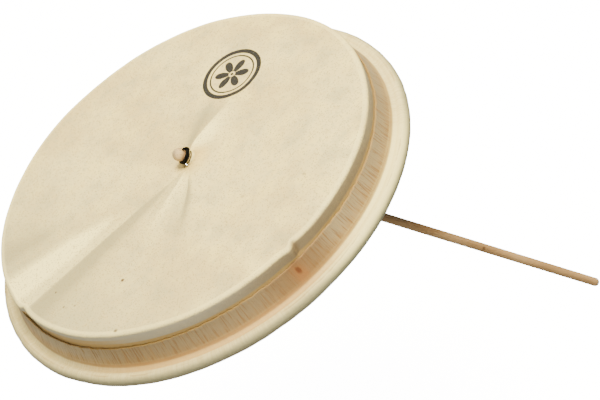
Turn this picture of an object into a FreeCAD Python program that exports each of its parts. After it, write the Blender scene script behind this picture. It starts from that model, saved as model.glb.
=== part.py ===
"""Spare head for a friction drum: a rawhide skin lapped on a steel hoop, with a stick tied into its middle.

Frame: +Z is the head's axis and points out of the playing face. The origin is where that axis meets the plane of
the playing face. The stick leans from straight down towards +X. Lengths are in millimetres and angles in degrees.
"""

import FreeCAD
import Part
import Sketcher
import math
import os
import re

SHEET = "Sizes"
DRIVING = [
    ("crown_r", 125.0, "outer radius of the skin where it turns over the drum shell"),
    ("skin_thick", 0.8, "thickness of the hide"),
    ("crown_round", 3.4, "outer radius of the turn from face to collar"),
    ("flat_margin", 1.0, "how far inside the crown's turn the playing face is parted from the rim"),
    ("waist_in", 0.9, "how far the collar draws in below the crown"),
    ("waist_depth", 10.8, "depth of the waist, and of the tucked flap's cut edge"),
    ("foot_out", 3.1, "how far the collar's foot stands out beyond the crown"),
    ("hoop_depth", 29.0, "depth of the hoop's centre below the face"),
    ("rod_r", 3.1, "radius of the steel rod of the hoop"),
    ("rod_slack", 0.1, "room between the rod and the skin round it"),
    ("roll_stand", 2.3, "distance from the collar's foot to the roll"),
    ("lap_gap", 0.35, "gap between the tucked flap and the collar behind it"),
    ("cone_width", 6.7, "width of the raised cone in the middle of the skin, from its mouth to its foot"),
    ("cone_gap", 0.3, "gap round the cone, where it works up and down"),
    ("pivot_x", 9.2, "distance from the head's axis to the point that the stick leans about"),
    ("pivot_z", 2.35, "height of that point over the face"),
    ("lean", 34.0, "lean of the stick from straight down"),
    ("neck_margin", 2.13, "how far the neck's round rim stands out beyond the tie"),
    ("neck_thick", 1.6, "thickness of the neck"),
    ("neck_play", 0.85, "room between the neck's hole and the stick"),
    ("mouth_gap", 0.2, "gap between the neck's rim and the cone's mouth"),
    ("stick_r", 2.75, "radius of the stick"),
    ("stick_length", 300.0, "length of the stick"),
    ("stick_end_round", 1.8, "rounding of the stick's free end"),
    ("bead_step", 0.55, "how far the swelling at the tied end stands out beyond the stick"),
    ("bead_rise", 2.84, "distance from the tie's upper turn to the swelling's centre, along the stick"),
    ("pouch_thick", 0.75, "thickness of the skin gathered over the stick's end"),
    ("pouch_fit", 0.05, "room between that skin and the stick"),
    ("pouch_show", 0.44, "how much of the gathered skin shows below the tie"),
    ("cord_r", 0.7, "radius of the tie's cord"),
    ("cord_bite", 0.08, "how far each turn of the tie sinks into the one beside it"),
    ("cord_fit", 0.02, "room between the tie and the skin under it"),
    ("tie_up", 4.0, "distance from the pivot to the middle of the tie"),
    ("knot_r", 1.15, "radius of the tie's knot"),
    ("knot_turn", 22.0, "angle of the knot round the stick, from the side that it leans to"),
    ("tail_r", 0.6, "radius of the tie's cut tail"),
    ("tail_length", 3.6, "length of the tie's cut tail"),
]
ALIASES = re.compile(r"\b(" + "|".join(alias for alias, _, _ in DRIVING) + r")\b")

# Sizes worked out from the driving dimensions.
FACE_R = "(crown_r - crown_round - flat_margin)"
ROLL_R = "(rod_r + rod_slack + skin_thick)"
FOOT_R = "(crown_r + foot_out)"
WAIST_R = "(crown_r - waist_in)"
RING_R = f"({FOOT_R} + roll_stand + {ROLL_R})"
CREASE_DEPTH = f"(hoop_depth - {ROLL_R})"
ROLL_WALL_R = "(rod_r + rod_slack + skin_thick / 2)"
SLEEVE_R = "(stick_r + pouch_fit + pouch_thick)"
TURN_R = f"({SLEEVE_R} + cord_fit + cord_r)"
HALF_PITCH = "(cord_r - cord_bite / 2)"
POUCH_FOOT = f"(tie_up - {HALF_PITCH} - cord_r - pouch_show)"
BEAD_R = "(stick_r + bead_step)"
BEAD_UP = f"(tie_up + {HALF_PITCH} + bead_rise)"
KNOB_R = f"({BEAD_R} + pouch_fit + pouch_thick)"
KNOT_OUT = f"({SLEEVE_R} + cord_fit + knot_r)"
TAIL_OUT = f"({KNOB_R} + cord_fit + tail_r)"
NECK_R = f"({TURN_R} + cord_r + neck_margin)"
MOUTH_R = f"({NECK_R} + mouth_gap)"
CONE_R = f"({MOUTH_R} + cone_width)"

# Where the flap's two sides meet the middle of the roll's wall: angles from the roll's top, towards the collar.
FLAP_TOP_ANGLE = 30
FLAP_UNDER_ANGLE = 55
# Shares of the skin's thickness that bend the collar and the flap into the roll.
COLLAR_BEND = 1.5
FLAP_BEND = 0.6
WALL_OUTER_SHARE = 0.2
WALL_INNER_SHARE = 0.8


def bound(formula):
    """The formula with each driving dimension's name replaced by its cell."""
    return ALIASES.sub(SHEET + r".\1", formula)


def make_sheet(doc):
    """One row for each driving dimension: its words in column A and its value in column B."""
    sheet = doc.addObject("Spreadsheet::Sheet", SHEET)
    for row, (alias, value, words) in enumerate(DRIVING, start=1):
        sheet.set(f"A{row}", words)
        sheet.set(f"B{row}", str(value))
        sheet.setAlias(f"B{row}", alias)
    doc.recompute()
    return sheet


def bind(thing, **formulas):
    """Binds properties to formulas of the driving dimensions. A double underscore stands for a dot."""
    for name, formula in formulas.items():
        thing.setExpression(name.replace("__", "."), bound(formula))


def add_sketch(body, name, role):
    """An empty sketch on one of the body's own origin planes."""
    plane = next(o for o in body.Origin.OriginFeatures if o.Role == role)
    sketch = body.newObject("Sketcher::SketchObject", name)
    sketch.AttachmentSupport = [(plane, "")]
    sketch.MapMode = "FlatFace"
    return sketch


def place_point(sketch, geometry, point, name, formula, across):
    """Ties one coordinate of a sketch point to a formula: its distance from the origin, whatever its sign."""
    kind = "DistanceX" if across else "DistanceY"
    size = float(sketch.evalExpression(bound(formula)))
    if formula == "0":
        axis = -2 if across else -1
        sketch.addConstraint(Sketcher.Constraint("PointOnObject", geometry, point, axis))
        return
    if size < 0:
        added = sketch.addConstraint(Sketcher.Constraint(kind, geometry, point, -1, 1, -size))
        formula = f"-({formula})"
    else:
        added = sketch.addConstraint(Sketcher.Constraint(kind, -1, 1, geometry, point, size))
    sketch.renameConstraint(added, name)
    sketch.setExpression(f"Constraints.{name}", bound(formula))


def draw_outline(sketch, corners):
    """A closed outline of straight lines through corners, each a pair of formulas."""
    spots = []
    for across, up in corners:
        x = float(sketch.evalExpression(bound(across)))
        y = float(sketch.evalExpression(bound(up)))
        spots.append(FreeCAD.Vector(x, y, 0))
    count = len(corners)
    for n in range(count):
        sketch.addGeometry(Part.LineSegment(spots[n], spots[(n + 1) % count]), False)
    for n in range(count):
        sketch.addConstraint(Sketcher.Constraint("Coincident", n, 2, (n + 1) % count, 1))
    for n, (across, up) in enumerate(corners):
        place_point(sketch, n, 1, f"across_{n}", across, True)
        place_point(sketch, n, 1, f"up_{n}", up, False)


def draw_circle(sketch, across, up, radius):
    """A circle whose centre and radius are formulas."""
    centre = FreeCAD.Vector(
        float(sketch.evalExpression(bound(across))), float(sketch.evalExpression(bound(up))), 0
    )
    size = float(sketch.evalExpression(bound(radius)))
    geometry = sketch.addGeometry(Part.Circle(centre, FreeCAD.Vector(0, 0, 1), size), False)
    place_point(sketch, geometry, 3, f"centre_across_{geometry}", across, True)
    place_point(sketch, geometry, 3, f"centre_up_{geometry}", up, False)
    added = sketch.addConstraint(Sketcher.Constraint("Radius", geometry, size))
    sketch.renameConstraint(added, f"radius_{geometry}")
    sketch.setExpression(f"Constraints.radius_{geometry}", bound(radius))


def revolve(body, sketch, name):
    """The sketch turned once round its vertical axis."""
    turned = body.newObject("PartDesign::Revolution", name)
    turned.Profile = sketch
    turned.ReferenceAxis = (sketch, ["V_Axis"])
    turned.Angle = 360
    sketch.Visibility = False
    return turned


def ring_edges(feature, radius, height):
    """Names of the feature's circular edges of that radius at that height."""
    found = []
    for n, edge in enumerate(feature.Shape.Edges, start=1):
        curve = edge.Curve
        if not isinstance(curve, Part.Circle):
            continue
        if math.isclose(curve.Radius, radius, abs_tol=1e-4) and math.isclose(curve.Center.z, height, abs_tol=1e-4):
            found.append(f"Edge{n}")
    if not found:
        raise ValueError(f"{feature.Name} has no edge of radius {radius} at height {height}")
    return found


def round_edge(body, name, base, radius_at, height_at, rounding):
    """A fillet on the circular edge of the base feature that two formulas point at."""
    body.Document.recompute()
    radius = float(base.evalExpression(bound(radius_at)))
    height = float(base.evalExpression(bound(height_at)))
    fillet = body.newObject("PartDesign::Fillet", name)
    fillet.Base = (base, ring_edges(base, radius, height))
    bind(fillet, Radius=rounding)
    return fillet


def stand_on_pivot(piece):
    """Puts a piece that is made along +Z on the pivot, leaning with the stick."""
    piece.Placement = FreeCAD.Placement(FreeCAD.Vector(0, 0, 0), FreeCAD.Rotation(FreeCAD.Vector(0, -1, 0), 1))
    bind(
        piece,
        Placement__Base__x="pivot_x",
        Placement__Base__z="pivot_z",
        Placement__Rotation__Angle="lean",
    )


def add_solid(doc, kind, name, up="0", **formulas):
    """A Part primitive whose sizes and height are formulas."""
    solid = doc.addObject(kind, name)
    bind(solid, Placement__Base__z=up, **formulas)
    return solid


def fuse(doc, name, solids):
    """The solids joined into one."""
    joined = doc.addObject("Part::MultiFuse", name)
    joined.Shapes = solids
    return joined


def cut(doc, name, base, tool):
    """The base with the tool's space taken out."""
    left = doc.addObject("Part::Cut", name)
    left.Base = base
    left.Tool = tool
    return left


def skin_rim(doc):
    """The skin's crown, collar, roll round the hoop and tucked flap: one sheet all the way."""
    body = doc.addObject("PartDesign::Body", "skin_rim")
    collar = add_sketch(body, "CollarSection", "XZ_Plane")
    bend_depth = f"({CREASE_DEPTH} + {COLLAR_BEND} * skin_thick)"
    draw_outline(
        collar,
        [
            (FACE_R, "0"),
            ("crown_r", "0"),
            (WAIST_R, "-waist_depth"),
            (FOOT_R, f"-{bend_depth}"),
            (f"{FOOT_R} + roll_stand + {WALL_INNER_SHARE} * skin_thick", "-hoop_depth"),
            (f"{FOOT_R} + roll_stand + {WALL_OUTER_SHARE} * skin_thick", "-hoop_depth"),
            (f"{FOOT_R} - skin_thick", f"-{bend_depth}"),
            (f"{WAIST_R} - skin_thick", "-waist_depth"),
            ("crown_r - skin_thick", "-skin_thick"),
            (FACE_R, "-skin_thick"),
        ],
    )
    turned = revolve(body, collar, "Collar")
    outer = round_edge(body, "CrownOutside", turned, "crown_r", "0", "crown_round")
    inner = round_edge(
        body, "CrownInside", outer, "crown_r - skin_thick", "-skin_thick", "crown_round - skin_thick"
    )
    roll = add_sketch(body, "RollSection", "XZ_Plane")
    draw_circle(roll, RING_R, "-hoop_depth", ROLL_R)
    draw_circle(roll, RING_R, "-hoop_depth", "rod_r + rod_slack")
    revolve(body, roll, "Roll")
    flap = add_sketch(body, "FlapSection", "XZ_Plane")
    draw_outline(
        flap,
        [
            (f"{WAIST_R} + lap_gap", "-waist_depth"),
            (f"{WAIST_R} + lap_gap + skin_thick", "-waist_depth"),
            (f"{FOOT_R} + lap_gap + skin_thick", f"-{CREASE_DEPTH}"),
            (
                f"{RING_R} - {ROLL_WALL_R} * sin({FLAP_TOP_ANGLE} deg)",
                f"{ROLL_WALL_R} * cos({FLAP_TOP_ANGLE} deg) - hoop_depth",
            ),
            (
                f"{RING_R} - {ROLL_WALL_R} * sin({FLAP_UNDER_ANGLE} deg)",
                f"{ROLL_WALL_R} * cos({FLAP_UNDER_ANGLE} deg) - hoop_depth",
            ),
            (f"{FOOT_R} + lap_gap", f"-{CREASE_DEPTH} - {FLAP_BEND} * skin_thick"),
        ],
    )
    revolve(body, flap, "Flap")
    doc.recompute()
    if not inner.Shape.Volume < turned.Shape.Volume:
        raise ValueError("the crown's turn took nothing off")
    return body


def skin_face(doc):
    """The flat playing face, from the cone's edge to the crown's turn. A drum shell bears on its underside."""
    body = doc.addObject("PartDesign::Body", "skin_face")
    outline = add_sketch(body, "FaceOutline", "XY_Plane")
    draw_circle(outline, "0", "0", FACE_R)
    draw_circle(outline, "pivot_x", "0", f"{CONE_R} + cone_gap")
    face = body.newObject("PartDesign::Pad", "Face")
    face.Profile = outline
    face.Reversed = True
    bind(face, Length="skin_thick")
    return body


def skin_cone(doc):
    """The low cone that the stick pushes up in the middle of the skin."""
    body = doc.addObject("PartDesign::Body", "skin_cone")
    section = add_sketch(body, "ConeSection", "XZ_Plane")
    draw_outline(
        section,
        [
            (MOUTH_R, "pivot_z + skin_thick / 2"),
            (CONE_R, "0"),
            (CONE_R, "-skin_thick"),
            (MOUTH_R, "pivot_z - skin_thick / 2"),
        ],
    )
    revolve(body, section, "Cone")
    bind(body, Placement__Base__x="pivot_x")
    return body


def skin_neck(doc):
    """The skin round the stick just under the tie: a washer with a round rim, which leans in the cone's mouth."""
    ball = add_solid(doc, "Part::Sphere", "NeckBall", Radius=NECK_R)
    slab = add_solid(doc, "Part::Cylinder", "NeckSlab", up="-neck_thick / 2", Radius=NECK_R, Height="neck_thick")
    rim = doc.addObject("Part::Common", "NeckRim")
    rim.Base = ball
    rim.Tool = slab
    bore = add_solid(
        doc, "Part::Cylinder", "NeckBore", up="-neck_thick", Radius="stick_r + neck_play", Height="2 * neck_thick"
    )
    neck = cut(doc, "skin_neck", rim, bore)
    stand_on_pivot(neck)
    return neck


def bamboo_stick(doc):
    """The stick: a plain round rod with a rounded free end, and a swelling that the tie can't slip over."""
    body = doc.addObject("PartDesign::Body", "bamboo_stick")
    section = add_sketch(body, "StickSection", "XY_Plane")
    bind(section, AttachmentOffset__Base__z=BEAD_UP)
    draw_circle(section, "0", "0", "stick_r")
    rod = body.newObject("PartDesign::Pad", "Rod")
    rod.Profile = section
    rod.Reversed = True
    bind(rod, Length=f"stick_length - {BEAD_R}")
    round_edge(body, "FreeEnd", rod, "stick_r", f"{BEAD_UP} + {BEAD_R} - stick_length", "stick_end_round")
    bead = body.newObject("PartDesign::AdditiveSphere", "Bead")
    bind(bead, Radius=BEAD_R, AttachmentOffset__Base__z=BEAD_UP)
    stand_on_pivot(body)
    return body


def skin_pouch(doc):
    """The skin gathered over the stick's end: a round knob and the sleeve that the tie holds."""
    knob = add_solid(doc, "Part::Sphere", "Knob", up=BEAD_UP, Radius=KNOB_R)
    sleeve = add_solid(
        doc, "Part::Cylinder", "Sleeve", up=POUCH_FOOT, Radius=SLEEVE_R, Height=f"{BEAD_UP} - {POUCH_FOOT}"
    )
    bead_room = add_solid(doc, "Part::Sphere", "BeadRoom", up=BEAD_UP, Radius=f"{BEAD_R} + pouch_fit")
    rod_room = add_solid(doc, "Part::Cylinder", "RodRoom", Radius="stick_r + pouch_fit", Height=BEAD_UP)
    skin = fuse(doc, "PouchOutside", [knob, sleeve])
    room = fuse(doc, "PouchInside", [bead_room, rod_room])
    pouch = cut(doc, "skin_pouch", skin, room)
    stand_on_pivot(pouch)
    return pouch


def tie_cord(doc):
    """The tie: two turns of cord side by side, a knot and a short cut tail that lies along the knob."""
    turns = []
    for name, side in (("LowerTurn", "-"), ("UpperTurn", "+")):
        turn = add_solid(
            doc, "Part::Torus", name, up=f"tie_up {side} {HALF_PITCH}", Radius1=TURN_R, Radius2="cord_r"
        )
        turns.append(turn)
    knot = add_solid(doc, "Part::Sphere", "Knot", up="tie_up", Radius="knot_r")
    tail = add_solid(doc, "Part::Cylinder", "Tail", up="tie_up", Radius="tail_r", Height="tail_length")
    for piece, out in ((knot, KNOT_OUT), (tail, TAIL_OUT)):
        bind(
            piece,
            Placement__Base__x=f"{out} * cos(knot_turn * 1 deg)",
            Placement__Base__y=f"{out} * sin(knot_turn * 1 deg)",
        )
    tie = fuse(doc, "tie_cord", [*turns, knot, tail])
    stand_on_pivot(tie)
    return tie


def flesh_hoop(doc):
    """The closed ring of steel rod that the skin is lapped on."""
    return add_solid(doc, "Part::Torus", "flesh_hoop", up="-hoop_depth", Radius1=RING_R, Radius2="rod_r")


def check(doc, pieces):
    """Stops before anything is written if an object failed or a piece isn't one valid solid."""
    for thing in doc.Objects:
        if {"Invalid", "Error"} & set(thing.State):
            raise ValueError(f"{thing.Name} failed: {thing.State}")
    for piece in pieces:
        shape = piece.Shape
        if shape.isNull() or not shape.isValid() or len(shape.Solids) != 1:
            raise ValueError(f"{piece.Label} isn't one valid solid")


def main():
    doc = FreeCAD.newDocument("friction_drum_head")
    make_sheet(doc)
    makers = (skin_rim, skin_face, skin_cone, skin_neck, skin_pouch, flesh_hoop, bamboo_stick, tie_cord)
    pieces = []
    for make in makers:
        piece = make(doc)
        piece.Label = make.__name__
        pieces.append(piece)
    doc.recompute()
    check(doc, pieces)
    os.makedirs("parts", exist_ok=True)
    for piece in pieces:
        piece.Shape.exportStep(f"parts/{piece.Label}.step")
        print(piece.Label, round(piece.Shape.Volume, 1))


main()
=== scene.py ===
"""Looks for a friction drum head: one rawhide skin lapped on a steel hoop, with a bamboo stick tied in.

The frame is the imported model's own: +Z out of the playing face, and the stick leans from straight down
towards +X. Shapes are worked out in millimetres and made in metres. Angles round the head start at +X and
run towards +Y.
"""

import math

import bpy
import numpy as np
from mathutils import Matrix, Vector


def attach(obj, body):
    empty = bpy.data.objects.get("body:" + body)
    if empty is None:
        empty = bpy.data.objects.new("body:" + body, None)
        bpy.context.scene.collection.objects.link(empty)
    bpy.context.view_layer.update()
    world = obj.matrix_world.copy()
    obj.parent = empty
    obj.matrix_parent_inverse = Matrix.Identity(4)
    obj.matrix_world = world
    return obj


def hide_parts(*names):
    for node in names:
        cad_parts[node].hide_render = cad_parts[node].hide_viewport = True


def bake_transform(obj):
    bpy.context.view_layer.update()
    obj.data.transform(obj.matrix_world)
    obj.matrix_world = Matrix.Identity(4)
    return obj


MM = 0.001
TO_MM = 1000.0
TURN = 2 * math.pi
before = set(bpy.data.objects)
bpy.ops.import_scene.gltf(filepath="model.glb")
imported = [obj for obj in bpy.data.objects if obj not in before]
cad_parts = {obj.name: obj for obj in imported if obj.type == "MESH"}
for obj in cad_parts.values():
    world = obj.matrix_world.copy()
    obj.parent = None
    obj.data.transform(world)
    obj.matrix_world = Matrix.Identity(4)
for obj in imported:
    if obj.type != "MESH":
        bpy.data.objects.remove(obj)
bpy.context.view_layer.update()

# --------------------------------------------------------------------------------------------------
# Sizes shared by the pieces, in millimetres
# --------------------------------------------------------------------------------------------------
HIDE = 0.8  # thickness of the skin
PIVOT = np.array([9.2, 0.0, 2.35])  # the point that the stick leans about
LEAN = math.radians(34.0)
STICK_UP = np.array([-math.sin(LEAN), 0.0, math.cos(LEAN)])
LEAN_SIDE = np.array([math.cos(LEAN), 0.0, math.sin(LEAN)])
ACROSS = np.array([0.0, 1.0, 0.0])

# the mouth of the skin round the stick
BALL_R = 4.6  # from the pivot to the mouth
LIP_TILT = 7.0  # degrees by which the mouth stands over the pivot
LIP_SWING = 23.0  # more degrees on the lean side, and fewer on the other
PLEATS = 15

# the gathered end, the tie and the stick, with heights up the stick from the pivot
SLEEVE_R = 3.55
KNOB_R = 4.1
POUCH_WALL = 0.6
POUCH_INSET = 0.36  # from the pouch's outside to the middle of its wall
TIE_UP = 4.0
TIE_TURN_R = 4.27
KNOT_TURN = math.radians(22.0)
CORD_R = 0.7
BEAD_UP = 7.5
STICK_R = 2.75
STICK_TOP = BEAD_UP + 3.3
STICK_LENGTH = 300.0
STICK_LOW = STICK_TOP - STICK_LENGTH

# the face and the rim
AROUND = 760  # points round the hide
FACE_RINGS = 96
FACE_LEVEL = -0.60  # how low the face lies, away from the tie and the folds
THIN_RINGS = 9  # rings over which the hide grows from its thin mouth to its whole thickness
THIN_SHARE = 0.12
CROWN_R = 122.8
CROWN_TURN = 1.8
WAIST_R = 123.7
WAIST_Z = -10.8
COLLAR = (  # height and radius, down the collar
    (-4.6, 124.45), (-6.6, 124.15), (-8.8, 123.85), (WAIST_Z, WAIST_R), (-13.0, 124.1), (-15.6, 124.75),
    (-18.2, 125.45), (-20.8, 126.15), (-23.4, 126.85), (-25.4, 127.45), (-26.9, 128.2), (-28.2, 129.2),
)
HOOP_R = 134.4
HOOP_Z = -29.0
ROLL_R = 3.6
ROLL_START = 202.0  # degrees round the hoop's section
ROLL_STEP = 9.7
ROLL_STEPS = 30
FLAP_FOOT = ((130.6, -25.65), (129.55, -25.25), (128.95, -24.5))  # radius and height
FLAP_STEPS = 14
CUT_Z = -10.7
RIM_R = 130.0  # the mean radius that the rim's streaks are laid out on
STREAK_SLANT = 0.0006  # radians for each millimetre up the flap
STREAK_FROM = 50.0
# Where the crown's edge swells out and then steps back in: its angle, then the height, the offset and the
# width in degrees of the swell and of the step, and the degrees over which the edge comes back
CROWN_PUCKERS = (
    (-63.6, (1.3, 1.6, 1.7), (1.4, 0.6, 1.3), 3.2),
    (-159.0, (0.5, 3.0, 3.0), (1.8, 1.0, 1.6), 4.0),
)


# --------------------------------------------------------------------------------------------------
# Shader sums written as Python
# --------------------------------------------------------------------------------------------------
class Wire:
    """One output of a node, which can be used in sums."""

    def __init__(self, recipe, socket):
        self.recipe = recipe
        self.socket = socket

    def sum(self, operation, *values):
        return self.recipe.add("ShaderNodeMath", {"operation": operation}, values)

    def __add__(self, other):
        return self.sum("ADD", self, other)

    def __sub__(self, other):
        return self.sum("SUBTRACT", self, other)

    def __rsub__(self, other):
        return self.sum("SUBTRACT", other, self)

    def __mul__(self, other):
        return self.sum("MULTIPLY", self, other)

    def __pow__(self, other):
        return self.sum("POWER", self, other)

    __radd__ = __add__
    __rmul__ = __mul__

    def most(self, other):
        return self.sum("MAXIMUM", self, other)

    def between(self, low, high):
        """0 below low and 1 above high, with a soft step; the other way round if low is above high."""
        settings = {"interpolation_type": "SMOOTHSTEP"}
        if low < high:
            return self.recipe.add("ShaderNodeMapRange", settings, [self, low, high, 0.0, 1.0])
        return self.recipe.add("ShaderNodeMapRange", settings, [self, high, low, 1.0, 0.0])

    def band(self, low, high, soft):
        """1 between low and high, fading to 0 over soft on each side."""
        return self.between(low - soft, low) * self.between(high + soft, high)


class Recipe:
    """A material that is built up node by node."""

    def __init__(self, name):
        self.material = bpy.data.materials.new(name)
        self.material.use_nodes = True
        self.tree = self.material.node_tree
        self.tree.nodes.clear()

    def add(self, kind, settings=None, values=(), output=0):
        """Adds a node: its settings first, then its sockets' values or links, by place or by name."""
        node = self.tree.nodes.new(kind)
        for name, value in (settings or {}).items():
            setattr(node, name, value)
        pairs = values.items() if isinstance(values, dict) else enumerate(values)
        for key, value in pairs:
            if isinstance(value, Wire):
                self.tree.links.new(value.socket, node.inputs[key])
            elif value is not None:
                node.inputs[key].default_value = value
        return Wire(self, node.outputs[output]) if len(node.outputs) else None

    def mix(self, share, first, second):
        """Two colours mixed."""
        first, second = (c if isinstance(c, Wire) else (*c, 1.0) for c in (first, second))
        return self.add("ShaderNodeMix", {"data_type": "RGBA"}, {0: share, 6: first, 7: second}, output=2)

    def place(self, name):
        """A vector stored on the mesh."""
        return self.add("ShaderNodeAttribute", {"attribute_name": name}, output="Vector")

    def parts(self, vector):
        """The three numbers of a vector."""
        split = self.add("ShaderNodeSeparateXYZ", None, [vector])
        return [Wire(self, socket) for socket in split.socket.node.outputs]

    def stretch(self, vector, scales):
        """A vector times three numbers."""
        return self.add("ShaderNodeVectorMath", {"operation": "MULTIPLY"}, [vector, scales])

    def noise(self, vector, scale, detail, rough):
        values = {"Vector": vector, "Scale": scale, "Detail": detail, "Roughness": rough}
        return self.add("ShaderNodeTexNoise", {"noise_dimensions": "3D"}, values)

    def cells(self, vector, scale):
        """Distance from the middle of the nearest of many small cells."""
        return self.add("ShaderNodeTexVoronoi", {"feature": "F1"}, {"Vector": vector, "Scale": scale})

    def bump(self, height, strength, distance, after=None):
        values = {"Strength": strength, "Distance": distance, "Height": height, "Normal": after}
        return self.add("ShaderNodeBump", None, values, output="Normal")

    def finish(self, settings, **values):
        """The surface itself. The values are its sockets, with _ for a space."""
        sockets = {name.replace("_", " "): value for name, value in values.items()}
        surface = self.add("ShaderNodeBsdfPrincipled", settings, sockets)
        self.add("ShaderNodeOutputMaterial", None, {"Surface": surface})
        return self.material


def tone(red, green, blue):
    """A colour as a paint chart gives it, from 0 to 255, in the renderer's own light scale."""
    shares = (red / 255, green / 255, blue / 255)
    return tuple(share / 12.92 if share < 0.0405 else ((share + 0.055) / 1.055) ** 2.4 for share in shares)


def length_of(a, b):
    """The length of a vector of two parts."""
    return (a * a + b * b) ** 0.5


# --------------------------------------------------------------------------------------------------
# Small shape helpers
# --------------------------------------------------------------------------------------------------
def ease(t):
    """0 to 1 with flat ends."""
    t = np.clip(t, 0.0, 1.0)
    return t * t * (3 - 2 * t)


def hump(off, width):
    """A round hump: 1 where off is 0, and falling away over width."""
    return np.exp(-((off / width) ** 2))


def turn_apart(a, b):
    """The angle from b to a, in degrees, from -180 to 180."""
    return (np.asarray(a) - b + 180.0) % 360.0 - 180.0


def full_turn(count):
    """Angles once round, in radians, without the last one."""
    return np.linspace(0, TURN, count, endpoint=False)


def wander(angle, seed, waves, first=1):
    """A smooth closed random line round the head: about -1 to 1 over the angle in radians."""
    rng = np.random.default_rng(seed)
    total = np.zeros_like(angle)
    for n in range(first, first + waves):
        total += rng.normal() * np.cos(n * angle + rng.uniform(0, TURN))
    return total / math.sqrt(waves)


def rolling(x, y, seed, size, waves=14):
    """A smooth random surface, about -1 to 1, with waves about size across."""
    rng = np.random.default_rng(seed)
    total = np.zeros_like(x)
    for _ in range(waves):
        way = rng.uniform(0, TURN)
        pitch = TURN / (size * rng.uniform(0.7, 1.6))
        along = x * math.cos(way) + y * math.sin(way)
        total += rng.normal() * np.cos(pitch * along + rng.uniform(0, TURN))
    return total / math.sqrt(waves)


def make_mesh(name, points, faces, stored):
    """A smooth mesh object from points in millimetres. stored is vectors to keep on its points, by name."""
    mesh = bpy.data.meshes.new(name)
    mesh.from_pydata((np.asarray(points).reshape(-1, 3) * MM).tolist(), [], faces)
    mesh.validate()
    for key, values in stored.items():
        layer = mesh.attributes.new(key, "FLOAT_VECTOR", "POINT")
        layer.data.foreach_set("vector", np.asarray(values, np.float32).ravel())
    mesh.shade_smooth()
    mesh.update()
    piece = bpy.data.objects.new(name, mesh)
    bpy.context.scene.collection.objects.link(piece)
    return piece


def grid_faces(rows, columns):
    """Quads for rows of points that each close on themselves. Row n+1 follows row n."""
    faces = []
    for i in range(rows - 1):
        for j in range(columns):
            k = (j + 1) % columns
            faces.append((i * columns + j, i * columns + k, (i + 1) * columns + k, (i + 1) * columns + j))
    return faces


def first_cap(columns, middle):
    """Triangles that close the first row on the point whose number is middle."""
    return [((j + 1) % columns, j, middle) for j in range(columns)]


def last_cap(rows, columns, middle):
    """Triangles that close the last row on the point whose number is middle."""
    base = (rows - 1) * columns
    return [(base + j, base + (j + 1) % columns, middle) for j in range(columns)]


def thicken(piece, thickness, offset=0.0):
    """Gives a sheet its thickness."""
    wall = piece.modifiers.new("Wall", "SOLIDIFY")
    wall.thickness = thickness * MM
    wall.offset = offset
    wall.use_even_offset = False
    wall.use_quality_normals = True
    return wall


def on_stick(across, sideways, up):
    """Points in the head's frame, from distances to the lean side, sideways and up from the pivot."""
    across, sideways, up = np.broadcast_arrays(across, sideways, up)
    return PIVOT + across[..., None] * LEAN_SIDE + sideways[..., None] * ACROSS + up[..., None] * STICK_UP


def own_places(points):
    """Where points are, and how far to the lean side, sideways and up the stick, to keep on the mesh."""
    points = np.asarray(points).reshape(-1, 3)
    rel = points - PIVOT
    return {
        "place": points * MM,
        "along": np.stack([rel @ LEAN_SIDE, rel @ ACROSS, rel @ STICK_UP], -1) * MM,
    }


# --------------------------------------------------------------------------------------------------
# The skin
# --------------------------------------------------------------------------------------------------
# Folds in the playing face: the angle round the tie far out, the widths of the two flanks in degrees, the
# height, the distances from the tie where the fold starts, is highest and ends, and how far its line swings
# round close to the tie
FOLDS = (
    (44.0, 34.0, 14.0, 1.25, 2.0, 14.0, 62.0, 60.0),
    (-109.0, 7.0, 7.0, -0.75, 8.0, 26.0, 62.0, 0.0),
    (-134.0, 15.0, 9.0, 0.75, 3.0, 26.0, 66.0, 4.0),
    (-158.5, 4.5, 8.0, -1.3, 20.0, 118.0, 400.0, 14.0),
    (-171.0, 10.0, 3.5, 0.9, 40.0, 118.0, 400.0, 0.0),
    (-67.3, 1.2, 2.2, 0.8, 92.0, 117.0, 400.0, 0.0),
    (133.0, 6.0, 9.0, 0.3, 20.0, 60.0, 120.0, 0.0),
)
# Painted light (above 0) and painted shade on the face, for the lit and shaded sides of the folds, laid out
# like the folds
FOLD_LIGHT = (
    (44.0, 50.0, 3.0, 1.1, 2.0, 12.0, 62.0, 60.0),
    (60.0, 7.0, 24.0, -1.1, 4.0, 20.0, 66.0, 50.0),
    (-136.0, 12.0, 12.0, 0.5, 3.0, 18.0, 66.0, 4.0),
    (-109.0, 7.0, 8.0, -1.3, 6.0, 24.0, 70.0, 0.0),
    (-155.5, 5.0, 8.0, -1.6, 3.0, 40.0, 400.0, 14.0),
    (-166.5, 9.0, 5.0, 1.9, 40.0, 100.0, 400.0, 0.0),
    (178.0, 9.0, 9.0, -1.1, 60.0, 118.0, 400.0, 0.0),
    (-30.0, 20.0, 16.0, 0.35, 70.0, 116.0, 400.0, 0.0),
    (-78.0, 8.0, 8.0, 0.35, 70.0, 116.0, 400.0, 0.0),
)
SWING_FADE = 18.0


def fold_heights(x, y, table=FOLDS):
    """Height of the folds, or amount of the painted fold light and shade, at places on the face."""
    out = np.hypot(x - PIVOT[0], y)
    angle = np.degrees(np.arctan2(y, x - PIVOT[0]))
    height = np.zeros_like(x)
    for at, clockwise, counter, high, start, peak, end, swing in table:
        off = turn_apart(angle, at + swing * np.exp(-out / SWING_FADE))
        width = np.where(off < 0, clockwise, counter)
        profile = np.exp(-(np.sqrt((off / width) ** 2 + 0.03) - 0.17) * 1.5)
        along = ease((out - start) / (peak - start)) * (1 - ease((out - peak) / (end - peak)))
        height += high * profile * along
    return height


def lip_tilt(cosine):
    """How far the mouth stands over the pivot, in radians. cosine is that of the angle to the lean side."""
    return np.radians(LIP_TILT + LIP_SWING * cosine)


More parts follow.
